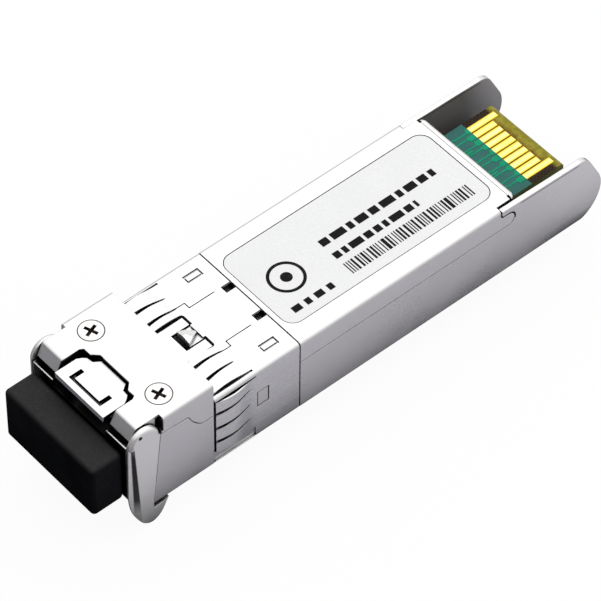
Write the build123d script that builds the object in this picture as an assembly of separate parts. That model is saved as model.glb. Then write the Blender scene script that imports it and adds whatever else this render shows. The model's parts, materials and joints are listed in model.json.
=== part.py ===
from build123d import *
import os
from math import cos, sin, radians

# Optical transceiver module, pluggable, with two round-ferrule fibre ports.
# Frame: X across, Y towards the edge connector, Z out of the label face.
# Origin: centre plane, at the shoulder where the nose meets the part that enters the cage,
# on the flat face opposite the label. All sizes in millimetres.

# ---- body that enters the cage ----
BODY_W = 13.4
BODY_H = 8.5
BODY_END = 44.4
COVER_END = 34.6
LIP_START = 33.95
WALL = 0.8
FLOOR = 1.0
ROOF = 0.8
SKIRT_WALL = 0.5
SKIRT_TOP = 8.3
SKIRT_REAR_TOP = 8.08
SEAM_GAP = 0.06
HOOK_GAP = 0.17
SEAM_Z = 6.1
HALF_W = BODY_W / 2
CAVITY_HALF = HALF_W - WALL
SKIRT_HALF = HALF_W - SKIRT_WALL
CAVITY_START = 4.6

# ---- nose, in front of the shoulder ----
NOSE_FRONT = -8.9
NOSE_TOP = 10.55
NOSE_SEAM_Z = 8.9
NOSE_HALF = 6.1
EAR_FRONT = -8.42
EAR_BOTTOM = 9.3
EAR_TOP_FRONT = -7.8
EAR_ROUND = 0.2
WINDOW_HALF = 3.5
WINDOW_END = -5.03
POCKET_HALF = 2.4
POCKET_FLOOR = 8.05
ARM_STEP = -5.35

# ---- fibre ports ----
PORT_PITCH = 6.25
PORT_Z = 4.6
PORT_SIZE = 4.7
PORT_END = -1.8
LATCH_SLOT_HALF = 1.2
LATCH_SLOT_TOP = 7.6
LATCH_SLOT_END = -4.9
FERRULE_BORE_R = 0.63
BARREL_R = 1.475
BARREL_FRONT = -5.2
PORT_X = PORT_PITCH / 2

# ---- bail and its cam shaft ----
PIVOT_Y = -7.3
PIVOT_Z = 8.8
SHAFT_R = 0.45
SHAFT_PLAY = 0.04
SHAFT_HALF = 6.6
CAM_REACH = 0.83
CAM_HALF = 0.3
CAM_IN = 2.25
CAM_OUT = 2.95
ARM_IN = 6.22
ARM_OUT = 6.72
ARM_HEAD_R = 1.6
ARM_HEAD_ROUND = 0.38
BAR_TOP = -0.33
BAR_BOTTOM = -1.15
BAR_FRONT = -6.95
BAR_REAR = -5.15
LOBE_BOTTOM = -2.05

# ---- latch lever ----
LEVER_Y = -3.6
LEVER_Z = 8.9
LEVER_PIN_R = 0.5
LEVER_PIN_HALF = 3.4
LEVER_PLAY = 0.03
PLATE_TOP = 10.1
PLATE_T = 0.4
PLATE_HALF = 3.15
PLATE_FRONT = -8.85
LEVER_MID_TOP = 9.65
LEVER_REAR_TOP = 8.4
LEVER_HALF = 2.25
LEVER_END = 3.8
FORK_OUT = 2.0
FORK_IN = 1.05
FORK_START = 1.8
BOSS_HALF = 0.86
BOSS_FRONT = 2.25
BOSS_END = 3.65
BOSS_TOP = 9.05
SPRING_Y = -0.95
SPRING_R = 0.62
SPRING_WIRE_R = 0.1
SPRING_SEAT = 5.0

# ---- spring band ----
BAND_T = 0.12
BAND_DEPTH = 0.15
BAND_START = 0.25
BAND_ROOT = 4.6
BAND_END = 9.4
FINGER_BULGE = 0.28
BAND_IN = HALF_W - BAND_DEPTH + 0.02
BAND_OUT = BAND_IN + BAND_T
BAND_LOW = BAND_DEPTH - 0.02 - BAND_T
BAND_HIGH = BODY_H - BAND_LOW

# ---- circuit board ----
BOARD_BOTTOM = 5.25
BOARD_T = 1.0
BOARD_TOP = BOARD_BOTTOM + BOARD_T
BOARD_START = 10.6
BOARD_END = 41.7
BOARD_HALF = 5.6
TONGUE_HALF = 4.6
TONGUE_START = 32.2
PAD_PITCH = 0.8
PAD_COUNT = 10
PAD_W = 0.65
PAD_FRONT = 37.95
PAD_END = 40.35
OUTER_PAD_END = 41.15
PAD_T = 0.035
TRACK_T = 0.025

# ---- label, screws and dust plug ----
LABEL_HALF = 4.85
LABEL_START = 10.0
LABEL_END = 33.4
LABEL_CORNER = 1.3
LABEL_RECESS = 0.18
LABEL_GAP = 0.08
SCREW_X = 4.44
SCREW_Y = -3.96
SCREW_HEAD_R = 1.15
SCREW_HEAD_H = 0.75
SCREW_R = 0.7
SCREW_END = 7.4
PLUG_FRONT = -12.3
PLUG_BACK = -9.0
PLUG_HALF = 5.85
PLUG_BOTTOM = 2.2
PLUG_TOP = 8.1
PRONG_END = -5.35
PRONG_HALF = 2.3
EDGE_R = 0.35


def block(x0, x1, y0, y1, z0, z1):
    """Plain box between two corners."""
    centre = ((x0 + x1) / 2, (y0 + y1) / 2, (z0 + z1) / 2)
    return Pos(*centre) * Box(x1 - x0, y1 - y0, z1 - z0)


def across(face, x0, x1):
    """Side-view face, drawn as (Y, Z), extruded across the module from x0 to x1."""
    return extrude(Plane.YZ.offset(x0) * face, amount=x1 - x0, dir=(1, 0, 0))


def upward(face, z0, z1):
    """Top-view face, drawn as (X, Y), extruded from z0 to z1."""
    return extrude(Plane.XY.offset(z0) * face, amount=z1 - z0, dir=(0, 0, 1))


def rearward(face, y0, y1):
    """Front-view face, drawn as (X, Z), extruded along Y from y0 to y1."""
    plane = Plane(origin=(0, y0, 0), x_dir=(1, 0, 0), z_dir=(0, -1, 0))
    return extrude(plane * face, amount=y1 - y0, dir=(0, 1, 0))


def both_sides(shape):
    """The shape and its mirror image about the centre plane."""
    return shape + mirror(shape, about=Plane.YZ)


def rod_x(y, z, radius, x0, x1):
    """Round bar across the module."""
    return across(Pos(y, z) * Circle(radius), x0, x1)


def rod_y(x, z, radius, y0, y1):
    """Round bar along the module."""
    return rearward(Pos(x, z) * Circle(radius), y0, y1)


def rod_z(x, y, radius, z0, z1):
    """Upright round bar."""
    return upward(Pos(x, y) * Circle(radius), z0, z1)


def polygon(*points):
    return Polygon(*points, align=None)


def rounded_rect(x0, x1, y0, y1, radius):
    """Rectangle with round corners, in whichever view the caller draws it."""
    return Pos((x0 + x1) / 2, (y0 + y1) / 2) * RectangleRounded(x1 - x0, y1 - y0, radius)


# ---------------------------------------------------------------- shells

def envelope():
    """Outside of the two shells with their long edges rounded."""
    body = rearward(rounded_rect(-HALF_W, HALF_W, 0, BODY_H, EDGE_R), -1, BODY_END + 1)
    nose = rearward(rounded_rect(-HALF_W, HALF_W, 0, NOSE_TOP, EDGE_R), NOSE_FRONT - 1, 0)
    return body + nose


def quarter(centre, radius, start, end):
    """Arc about a centre between two angles in degrees, a right angle or so apart."""
    points = []
    for angle in (start, (start + end) / 2, end):
        turn = radians(angle)
        points.append((centre[0] + radius * cos(turn), centre[1] + radius * sin(turn)))
    return ThreePointArc(*points)


def cover_side(gap=0.0):
    """Side view of the upper cover: ears, bridge, roof and flanks with the rear hook.

    With a gap, its lower edge moves out by that much, which leaves the seam in the base.
    """
    drop_start = -3.0
    drop_z = NOSE_SEAM_Z - 0.28
    foot_z = 6.6
    foot_y = -0.85
    hook_y = 33.2
    hook_r = 0.7
    notch_y = 32.25
    notch_r = 0.4
    hook_top = SEAM_Z + 2 * hook_r
    start = EAR_FRONT + 0.3
    edges = [
        Line((start, NOSE_SEAM_Z - gap), (drop_start, drop_z - gap)),
        Spline((drop_start, drop_z - gap), (-2.42 - gap, 8.0), (-1.76 - gap, 7.1 - gap),
               (foot_y, foot_z - gap), tangents=[(1, -0.05), (1, 0)]),
        Line((foot_y, foot_z - gap), (0.6, foot_z - gap)),
        Line((0.6, foot_z - gap), (1.2, SEAM_Z - gap)),
        Line((1.2, SEAM_Z - gap), (hook_y, SEAM_Z - gap)),
        quarter((hook_y, SEAM_Z + hook_r), hook_r + gap, -90, 90),
        Line((hook_y, hook_top + gap), (notch_y + notch_r, hook_top + gap)),
        quarter((notch_y + notch_r, hook_top + notch_r), notch_r - gap, 270, 180),
        Line((notch_y + gap, hook_top + notch_r), (notch_y + gap, BODY_H)),
        Line((notch_y + gap, BODY_H), (0, BODY_H)),
        Line((0, BODY_H), (0, NOSE_TOP)),
        Line((0, NOSE_TOP), (EAR_TOP_FRONT + EAR_ROUND, NOSE_TOP)),
        ThreePointArc((EAR_TOP_FRONT + EAR_ROUND, NOSE_TOP), (EAR_TOP_FRONT, NOSE_TOP - 0.07),
                      (EAR_TOP_FRONT - 0.12, NOSE_TOP - EAR_ROUND)),
        Line((EAR_TOP_FRONT - 0.12, NOSE_TOP - EAR_ROUND), (EAR_FRONT, EAR_BOTTOM)),
        Line((EAR_FRONT, EAR_BOTTOM), (start, NOSE_SEAM_Z - gap)),
    ]
    return make_face(edges)


def arm_recess():
    """Room beside the nose for the bail arms and their swing."""
    face = polygon((-20, 12), (ARM_STEP, 12), (ARM_STEP, 9.2), (-5.64, 8.75), (-6.54, 0.4), (-6.54, -1),
                   (-20, -1))
    slot = block(5.4, HALF_W + 1, -5.75, ARM_STEP, NOSE_SEAM_Z + 0.05, NOSE_TOP - 0.25)
    return both_sides(across(face, NOSE_HALF, HALF_W + 1) + slot)


def band_recess():
    """Shallow step all round the body under the spring band, with a deeper gap at the finger tips."""
    outer = block(-HALF_W - 1, HALF_W + 1, 0, BAND_END + 0.12, -1, BODY_H)
    core_x = HALF_W - BAND_DEPTH
    core_face = rounded_rect(-core_x, core_x, BAND_DEPTH, BODY_H - BAND_DEPTH, EDGE_R - 0.1)
    core = rearward(core_face, -1, BAND_END + 1)
    gap = block(HALF_W - 0.5, HALF_W + 1, 0, BAND_START + 0.1, 1.4, BODY_H - 0.1)
    return (outer - core) + both_sides(gap)


def lever_pocket():
    """Room for the lever: the open window, the space under the bridge and the roof opening."""
    corner_y = -5.64
    right = [(WINDOW_HALF, NOSE_FRONT - 1), (WINDOW_HALF, -5.98), (3.3, corner_y), (2.5, corner_y),
             (1.9, WINDOW_END)]
    left = [(-x, y) for x, y in reversed(right)]
    pocket = upward(polygon(*right, *left), POCKET_FLOOR, NOSE_TOP + 1)
    end = LEVER_END + 0.2
    tunnel = polygon(
        (-5.6, POCKET_FLOOR), (-2.8, POCKET_FLOOR), (-2.8, 7.5), (0.2, 7.5), (0.2, 6.9), (end, 6.9),
        (end, BODY_H - 0.05), (0.1, 8.9), (-1.5, 8.78), (-2.6, 9.85), (-4.4, 9.88), (-5.6, 10.17))
    pocket += across(tunnel, -POCKET_HALF, POCKET_HALF)
    opening = rounded_rect(-2.2, 2.2, -0.8, end, 0.3)
    return pocket + upward(opening, BODY_H - ROOF - 0.2, BODY_H + 0.02)


def latch_boss():
    """Fixed wedge that locks the module in its cage, on a narrow tab between the lever's forks."""
    tab = block(-BOSS_HALF, BOSS_HALF, BOSS_FRONT, LEVER_END + 0.5, BODY_H - ROOF, BODY_H - BAND_DEPTH)
    seat = BODY_H - BAND_DEPTH - 0.05
    plan = polygon((-BOSS_HALF, BOSS_FRONT), (BOSS_HALF, BOSS_FRONT), (0.12, BOSS_END),
                   (-0.12, BOSS_END))
    slope = polygon((BOSS_FRONT, seat), (BOSS_END, seat), (BOSS_END, BODY_H + 0.1),
                    (BOSS_FRONT + 0.3, BOSS_TOP), (BOSS_FRONT, BOSS_TOP))
    ridge = polygon((-BOSS_HALF, seat), (BOSS_HALF, seat), (BOSS_HALF, BODY_H + 0.33), (0, BOSS_TOP),
                    (-BOSS_HALF, BODY_H + 0.33))
    wedge = upward(plan, seat, BOSS_TOP) & across(slope, -1.1, 1.1)
    return tab + (wedge & rearward(ridge, BOSS_FRONT - 1, BOSS_END + 1))


def shaft_seats():
    """Seats for the cam shaft and for the lever pin, which both shells close round."""
    shaft = rod_x(PIVOT_Y, PIVOT_Z, SHAFT_R + SHAFT_PLAY, -HALF_W - 1, HALF_W + 1)
    shaft += block(-HALF_W - 1, HALF_W + 1, PIVOT_Y - SHAFT_R - SHAFT_PLAY,
                   PIVOT_Y + SHAFT_R + SHAFT_PLAY, PIVOT_Z, NOSE_SEAM_Z)
    pin = rod_x(LEVER_Y, LEVER_Z, LEVER_PIN_R, -LEVER_PIN_HALF, LEVER_PIN_HALF)
    return shaft + pin


def spring_bore():
    """Blind hole behind the port wall that holds the latch spring, up to the lever."""
    return rod_z(0, SPRING_Y, SPRING_R + SPRING_WIRE_R + 0.06, SPRING_SEAT, 8.3)


def screw_clearance(x):
    """Countersunk hole through the cover for one screw."""
    middle = NOSE_TOP - SCREW_HEAD_H / 2
    cone = Pos(x, SCREW_Y, middle) * Cone(SCREW_R + 0.05, SCREW_HEAD_R + 0.05, SCREW_HEAD_H)
    return cone + rod_z(x, SCREW_Y, SCREW_R + 0.05, NOSE_SEAM_Z - 1, NOSE_TOP - 0.1)


def upper_cover():
    """Top casting: ears and bridge over the latch, roof with the label recess, flanks."""
    roof_z = BODY_H - ROOF
    shell = across(cover_side(), -HALF_W, HALF_W)
    shell += upward(rounded_rect(-6.05, 6.05, 30, COVER_END, 0.6), roof_z, BODY_H)
    shell &= envelope()
    shell -= block(-CAVITY_HALF, CAVITY_HALF, CAVITY_START, 34.0, 0, roof_z)
    shell -= block(-5.75, 5.75, 0, CAVITY_START + 0.1, 4, 7.1)
    shell += block(-5.7, 5.7, 33.3, 34.0, BOARD_TOP + 0.05, roof_z + 0.1)
    shell -= arm_recess()
    shell -= band_recess()
    shell -= lever_pocket()
    shell -= shaft_seats()
    shell -= both_sides(screw_clearance(SCREW_X))
    shell -= spring_bore()
    shell += latch_boss()
    recess = rounded_rect(-LABEL_HALF, LABEL_HALF, LABEL_START, LABEL_END, LABEL_CORNER)
    shell -= upward(recess, BODY_H - LABEL_RECESS, BODY_H + 1)
    # Short ribs that press the board's edges down on its ledges.
    for y in (13.0, 27.0):
        shell += both_sides(block(5.15, CAVITY_HALF + 0.1, y, y + 1.5, BOARD_TOP, roof_z + 0.1))
    # Low bosses that the windows of the spring band hook over.
    hook_z = BODY_H - BAND_DEPTH
    shell += both_sides(block(4.72, 5.18, 6.75, 8.15, hook_z - 0.1, hook_z + 0.12))
    # Blind pockets under the two square notches in the band's rear edge.
    shell -= both_sides(block(1.62, 2.42, 8.42, BAND_END + 0.12, roof_z + 0.1, BODY_H + 1))
    # Shallow step line in front of the rear lip, and a nick at each of its ends.
    shell -= block(-6.2, 6.2, LIP_START, LIP_START + 0.06, BODY_H - 0.03, BODY_H + 1)
    shell -= both_sides(block(5.6, 6.2, LIP_START - 0.12, LIP_START + 0.12, roof_z - 0.1, BODY_H + 1))
    rear_edge = shell.edges().filter_by(Axis.X).group_by(Axis.Y)[-1].sort_by(Axis.Z)[-1]
    return fillet(rear_edge, 0.35)


def base_outline():
    """Side view of the whole base before the cover's share is taken away."""
    rim_z = NOSE_SEAM_Z - SEAM_GAP
    edges = [
        Line((NOSE_FRONT + 1.0, 0), (41.0, 0)),
        ThreePointArc((41.0, 0), (42.7, 0.42), (43.75, 1.4)),
        ThreePointArc((43.75, 1.4), (BODY_END, 3.2), (44.1, 4.9)),
        Line((44.1, 4.9), (42.85, 7.3)),
        ThreePointArc((42.85, 7.3), (42.3, 7.87), (41.4, SKIRT_REAR_TOP)),
        Line((41.4, SKIRT_REAR_TOP), (32.2, SKIRT_TOP)),
        Line((32.2, SKIRT_TOP), (32.2, 7.0)),
        Line((32.2, 7.0), (-1.0, 7.0)),
        Line((-1.0, 7.0), (-2.0, rim_z)),
        Line((-2.0, rim_z), (NOSE_FRONT, rim_z)),
        Line((NOSE_FRONT, rim_z), (NOSE_FRONT, 2.1)),
        Line((NOSE_FRONT, 2.1), (NOSE_FRONT + 1.0, 0)),
    ]
    return make_face(edges)


def port_cut(x):
    """One fibre port: the square opening and the slot above it for the connector's latch."""
    half = PORT_SIZE / 2
    square = block(x - half, x + half, NOSE_FRONT - 1, PORT_END, PORT_Z - half, PORT_Z + half)
    slot = block(x - LATCH_SLOT_HALF, x + LATCH_SLOT_HALF, NOSE_FRONT - 1, LATCH_SLOT_END,
                 PORT_Z, LATCH_SLOT_TOP)
    return square + slot + rod_y(x, PORT_Z, BARREL_R + 0.03, PORT_END - 1, 1)


def base_shell():
    """Bottom casting: fibre ports, side walls, floor, board ledges and the rear skirts."""
    shell = across(base_outline(), -HALF_W, HALF_W)
    shell -= across(cover_side(SEAM_GAP), -HALF_W - 1, HALF_W + 1)
    hook_zone = block(-HALF_W - 1, HALF_W + 1, 31.9, 34.4, SEAM_Z + 0.45, BODY_H + 1)
    shell -= across(cover_side(HOOK_GAP), -HALF_W - 1, HALF_W + 1) & hook_zone
    shell &= envelope()
    # Trough behind the thin front lip of the nose, below the ears.
    shell -= both_sides(block(0, 5.6, NOSE_FRONT + 0.12, EAR_FRONT + 0.15, 8.1, NOSE_SEAM_Z + 1))
    shell -= block(-CAVITY_HALF, CAVITY_HALF, CAVITY_START, 32.3, FLOOR, 20)
    shell -= block(-SKIRT_HALF, SKIRT_HALF, 32.2, 60, FLOOR, 20)
    shell -= block(-5.75, 5.75, 0, CAVITY_START + 0.1, 1.6, 20)
    shell -= arm_recess()
    shell -= band_recess()
    shell -= lever_pocket()
    shell -= shaft_seats()
    shell -= both_sides(port_cut(PORT_X))
    shell -= both_sides(rod_z(SCREW_X, SCREW_Y, SCREW_R + 0.02, SCREW_END - 0.1, 20))
    shell -= spring_bore()
    # Ledges that carry the board.
    for y in (12.0, 19.5, 27.0):
        ledge = block(5.05, CAVITY_HALF + 0.1, y, y + 3.0, FLOOR - 0.1, BOARD_BOTTOM)
        shell += both_sides(ledge)
    # Low boss on each side that a window of the spring band hooks over.
    hook_x = HALF_W - BAND_DEPTH
    shell += both_sides(block(hook_x - 0.1, hook_x + 0.12, 4.85, 5.95, 4.05, 5.75))
    return shell


# ---------------------------------------------------------------- spring band

def finger_profile(inner):
    """Bulged finger seen from the side, drawn as (Y, distance out)."""
    outer = inner + BAND_T
    middle = (BAND_START + BAND_ROOT) / 2
    root = BAND_ROOT + 0.1
    edges = [
        Spline((root, outer), (middle, outer + FINGER_BULGE), (BAND_START, outer),
               tangents=[(-1, 0), (-1, -0.3)]),
        Line((BAND_START, outer), (BAND_START, inner)),
        Spline((BAND_START, inner), (middle, inner + FINGER_BULGE), (root, inner),
               tangents=[(1, 0.3), (1, 0)]),
        Line((root, inner), (root, outer)),
    ]
    return make_face(edges)


def finger_slit(root_x, tip_x, root_half, tip_half):
    """Slit between two fingers: wide at the tips, narrow and pointed at the root."""
    end = BAND_ROOT - 0.5
    return polygon((tip_x - tip_half, BAND_START - 1), (tip_x + tip_half, BAND_START - 1),
                   (tip_x + tip_half, BAND_START), (root_x + root_half, end - 0.3), (root_x, end),
                   (root_x - root_half, end - 0.3), (tip_x - tip_half, BAND_START))


def finger_row(inner, low, high, slits):
    """Fingers facing +Z between low and high in X, with a (root, tip) pair for each slit."""
    row = across(finger_profile(inner), low, high)
    for root_x, tip_x in slits:
        row -= upward(finger_slit(root_x, tip_x, 0.07, 0.22), inner - 1, inner + 2)
    return row


def band_tube(y0, y1):
    """Plain sleeve part of the band."""
    outer = rounded_rect(-BAND_OUT, BAND_OUT, BAND_LOW, BAND_HIGH, EDGE_R)
    low = BAND_LOW + BAND_T
    inner = rounded_rect(-BAND_IN, BAND_IN, low, BODY_H - low, EDGE_R - BAND_T)
    return rearward(outer, y0, y1) - rearward(inner, y0 - 1, y1 + 1)


def band_seams():
    """Jigsaw joint lines, hook windows and small holes in the top of the sleeve, +X half."""
    cut = block(3.0, 3.1, 3.6, 4.99, 8, 9)
    cut += block(2.35, 3.1, 4.89, 4.99, 8, 9)
    cut += block(2.35, 2.45, 4.89, 7.7, 8, 9)
    cut += block(1.6, 2.44, 8.4, BAND_END + 0.1, 8, 9)
    return cut + block(4.5, 5.4, 6.6, 8.3, 8, 9)


def emi_spring_band():
    """Stainless sleeve with outward-bulging contact fingers on all four sides."""
    band = band_tube(BAND_ROOT, BAND_END)
    top_inner = BAND_HIGH - BAND_T
    top_slits = [(side * root, side * tip) for side in (-1, 1) for root, tip in ((3.0, 3.05), (4.5, 4.75))]
    band += finger_row(top_inner, -6.1, 6.1, top_slits)
    low = BAND_LOW + BAND_T
    under_slits = [(x, x) for x in (-4.0, -2.0, 0, 2.0, 4.0)]
    band += mirror(finger_row(-low, -6.1, 6.1, under_slits), about=Plane.XY)
    side_slits = [(-6.85, -6.45), (-4.95, -4.55), (-3.05, -2.8)]
    side = Rot(0, 90, 0) * finger_row(BAND_IN, -8.0, -1.4, side_slits)
    band += both_sides(side)
    corners = block(6.32, 7, BAND_START - 1, BAND_ROOT + 1, 8.15, 9)
    corners += block(6.32, 7, BAND_START - 1, BAND_ROOT + 1, -1, 0.35)
    band += band_tube(BAND_START - 0.1, BAND_ROOT) & both_sides(corners)
    opening = rounded_rect(-2.2, 2.2, BAND_START - 3, LEVER_END + 0.2, 0.3)
    opening -= Pos(0, LEVER_END + 0.2) * Rectangle(2 * BOSS_HALF, 0.5)
    band -= upward(opening, 8, 9.5)
    band -= both_sides(band_seams())
    band -= both_sides(block(6, 7.5, 4.75, 6.05, 3.95, 5.85))
    return band


# ---------------------------------------------------------------- latch mechanism

def arm_face():
    """Side view of one bail arm below its head: straight arm and the lobe under the nose."""
    front = PIVOT_Y - ARM_HEAD_R
    rear = PIVOT_Y + ARM_HEAD_R
    edges = [
        Line((front, PIVOT_Z), (rear, PIVOT_Z)),
        Line((rear, PIVOT_Z), (-6.58, 0.4)),
        Line((-6.58, 0.4), (-6.58, BAR_TOP)),
        Line((-6.58, BAR_TOP), (-5.5, BAR_TOP)),
        Line((-5.5, BAR_TOP), (-5.0, -0.05)),
        Spline((-5.0, -0.05), (-5.4, -0.85), (-6.0, -1.72), (-6.75, LOBE_BOTTOM), (-7.6, -1.65),
               (-8.25, -0.75), (-8.75, 0.7), (-8.98, 2.6)),
        Line((-8.98, 2.6), (front, PIVOT_Z)),
    ]
    return make_face(edges)


def front_relief():
    """Steep facet along the arm's front edge, wider towards the lobe, with a thin web before it."""
    out = ARM_OUT + 0.01
    high = polygon((out, -9.6), (out, -8.42), (out - 0.28, -8.66), (out - 0.28, -9.6))
    low = polygon((out, -9.6), (out, -7.8), (out - 0.42, -8.4), (out - 0.42, -9.6))
    return loft([Plane.XY.offset(PIVOT_Z) * high, Plane.XY.offset(LOBE_BOTTOM - 0.1) * low])


def bail():
    """Pull handle: two arms beside the nose joined by a bar below it."""
    head = rod_x(PIVOT_Y, PIVOT_Z, ARM_HEAD_R, ARM_IN, ARM_OUT)
    head = fillet(head.edges().group_by(Axis.X)[-1], ARM_HEAD_ROUND)
    head &= block(ARM_IN - 1, ARM_OUT + 1, -12, -3, PIVOT_Z, NOSE_TOP)
    arm = across(arm_face(), ARM_IN, ARM_OUT) + head
    arm -= front_relief()
    arm -= rod_x(PIVOT_Y, PIVOT_Z, SHAFT_R, ARM_IN - 1, SHAFT_HALF)
    # Small round dimple in the head, left by the riveting of the shaft.
    arm -= rod_x(-7.78, 9.85, 0.19, ARM_OUT - 0.3, ARM_OUT + 1)
    bar = rounded_rect(BAR_FRONT, BAR_REAR, BAR_BOTTOM, BAR_TOP, 0.3)
    return both_sides(arm) + across(bar, -ARM_IN - 0.1, ARM_IN + 0.1)


def cam_shaft():
    """Cross shaft fixed in the bail arms; its two lobes hold the lever's front plate up."""
    shaft = rod_x(PIVOT_Y, PIVOT_Z, SHAFT_R, -SHAFT_HALF, SHAFT_HALF)
    tip_z = PIVOT_Z + CAM_REACH - CAM_HALF
    lobe_face = make_hull((Pos(PIVOT_Y, PIVOT_Z) * Circle(SHAFT_R)).edges()
                          + (Pos(PIVOT_Y, tip_z) * Circle(CAM_HALF)).edges())
    return shaft + both_sides(across(lobe_face, CAM_IN, CAM_OUT))


def lever_side():
    """Side view of the stamped lever: raised front plate, middle, and low rear end."""
    t = PLATE_T
    return polygon(
        (PLATE_FRONT, PLATE_TOP), (-5.17, PLATE_TOP), (-4.75, LEVER_MID_TOP), (-2.95, LEVER_MID_TOP),
        (-1.85, LEVER_REAR_TOP), (LEVER_END, LEVER_REAR_TOP), (LEVER_END, LEVER_REAR_TOP - t),
        (-2.1, LEVER_REAR_TOP - t), (-3.2, LEVER_MID_TOP - t), (-4.95, LEVER_MID_TOP - t),
        (-5.37, PLATE_TOP - t), (PLATE_FRONT, PLATE_TOP - t))


def lever_plan():
    """Top view of the lever: wide front plate, narrow middle, two forks at the rear."""
    right = [(PLATE_HALF, PLATE_FRONT), (PLATE_HALF, -6.6), (2.9, -6.15), (2.6, -5.82), (2.0, -5.78),
             (1.6, -5.2), (1.6, -4.9), (LEVER_HALF, -4.55), (LEVER_HALF, -1.4), (FORK_OUT, -0.6),
             (FORK_OUT, LEVER_END), (FORK_IN, LEVER_END), (FORK_IN, FORK_START)]
    left = [(-x, y) for x, y in reversed(right)]
    return polygon(*right, *left)


def latch_lever():
    """Rocker on the lever pin: when its forks rise, they lift the cage's tongue off the boss."""
    lever = across(lever_side(), -PLATE_HALF, PLATE_HALF) & upward(lever_plan(), 7, 11)
    lip = rounded_rect(PLATE_FRONT, PLATE_FRONT + 0.25, 9.45, PLATE_TOP, 0.09)
    lever += across(lip, -3.1, 3.1)
    # Slit round three sides of the tongue in the front plate.
    slit_out = 2.06
    side_w = 0.46
    front_w = 0.3
    front = PLATE_FRONT + 0.57
    slit = block(-slit_out, slit_out, front, front + front_w, 9, 11)
    slit += both_sides(block(slit_out - side_w, slit_out, front, -6.95, 9, 11))
    lever -= slit
    ear_r = 0.7
    ear = rod_x(LEVER_Y, LEVER_Z, ear_r, LEVER_HALF - 0.4, LEVER_HALF)
    ear += block(LEVER_HALF - 0.4, LEVER_HALF, LEVER_Y - ear_r, LEVER_Y + ear_r - 0.2, LEVER_Z,
                 LEVER_MID_TOP - 0.1)
    lever += both_sides(ear)
    return lever - rod_x(LEVER_Y, LEVER_Z, LEVER_PIN_R + LEVER_PLAY, -3, 3)


def lever_pin():
    return rod_x(LEVER_Y, LEVER_Z, LEVER_PIN_R, -LEVER_PIN_HALF, LEVER_PIN_HALF)


def latch_spring():
    """Small compression spring that lifts the forks when the cam lobes let go of the front."""
    bottom = SPRING_SEAT + SPRING_WIRE_R + 0.01
    height = LEVER_REAR_TOP - PLATE_T - 0.02 - SPRING_WIRE_R - bottom
    path = Helix(pitch=0.42, height=height, radius=SPRING_R, center=(0, SPRING_Y, bottom))
    start = Plane(origin=path @ 0, z_dir=path % 0)
    return sweep(start * Circle(SPRING_WIRE_R), path=path, is_frenet=True)


# ---------------------------------------------------------------- optics

def receptacle(x):
    """Metal barrel and collars of one optical assembly."""
    tube = rod_y(x, PORT_Z, BARREL_R, BARREL_FRONT, 0.4)
    tube += rod_y(x, PORT_Z, 2.1, 0.35, 0.85)
    tube += rod_y(x, PORT_Z, 1.6, 0.85, 1.65)
    tube += rod_y(x, PORT_Z, 2.1, 1.65, 2.1)
    return tube - rod_y(x, PORT_Z, 0.95, BARREL_FRONT - 1, 3)


def ferrule_sleeve(x):
    """Ceramic sleeve that guides the fibre ferrule."""
    tube = rod_y(x, PORT_Z, 0.93, BARREL_FRONT + 0.3, 1.2)
    return tube - rod_y(x, PORT_Z, FERRULE_BORE_R, BARREL_FRONT, 2)


def coupling_lens(x):
    """Small lens behind the sleeve."""
    disc = rod_y(x, PORT_Z, 0.93, 1.3, 1.65)
    dome = Pos(x, 1.65, PORT_Z) * Sphere(0.5)
    return disc + dome


def can_holder(x):
    """Round housing that joins the barrel to the diode package."""
    outer = rod_y(x, PORT_Z, 2.35, 2.1, 6.4)
    return outer - rod_y(x, PORT_Z, 0.8, 2, 3) - rod_y(x, PORT_Z, 1.95, 2.6, 7)


def diode_can(x, leads):
    """Diode package: flat header, domed cap and its leads."""
    can = rod_y(x, PORT_Z, 2.3, 6.42, 7.3) + rod_y(x, PORT_Z, 1.75, 4.2, 6.45)
    for i in range(leads):
        angle = radians(360 * i / leads)
        can += rod_y(x + cos(angle), PORT_Z + sin(angle), 0.17, 7.2, 8.0)
    return can


def flex_circuit(x, upper):
    """Flexible strip from the diode leads to the board: over its top or under its bottom."""
    t = 0.12
    front = 8.02
    rear = 12.6
    if upper:
        low = PORT_Z - 1.4
        face_z = BOARD_TOP + t
    else:
        low = PORT_Z + 1.4
        face_z = BOARD_BOTTOM - t
    sign = 1 if upper else -1
    r = 0.6
    bend = r * (1 - cos(radians(45)))
    far = [(front, low), (front, face_z - sign * r), (front + bend, face_z - sign * bend),
           (front + r, face_z), (rear, face_z)]
    inner = bend + t * cos(radians(45))
    near = [(rear, face_z - sign * t), (front + r, face_z - sign * t),
            (front + inner, face_z - sign * inner), (front + t, face_z - sign * r), (front + t, low)]
    edges = [
        Line(far[0], far[1]), ThreePointArc(far[1], far[2], far[3]), Line(far[3], far[4]),
        Line(far[4], near[0]), Line(near[0], near[1]), ThreePointArc(near[1], near[2], near[3]),
        Line(near[3], near[4]), Line(near[4], far[0]),
    ]
    return across(make_face(edges), x - 1.9, x + 1.9)


def assembly_clip():
    """Sheet clip that drops into the necks of both optical assemblies."""
    plate = block(-5.6, 5.6, 0.95, 1.55, 1.7, 6.9)
    slot = rod_y(PORT_X, PORT_Z, 1.63, 0, 2) + block(PORT_X - 1.63, PORT_X + 1.63, 0, 2, 1, PORT_Z)
    return plate - both_sides(slot)


def nose_gasket():
    """Conductive rubber sheet that seals the gap round the two barrels."""
    sheet = block(-5.6, 5.6, 0.03, 0.32, 1.7, 6.9)
    return sheet - both_sides(rod_y(PORT_X, PORT_Z, BARREL_R + 0.02, -1, 1))


# ---------------------------------------------------------------- board

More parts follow.
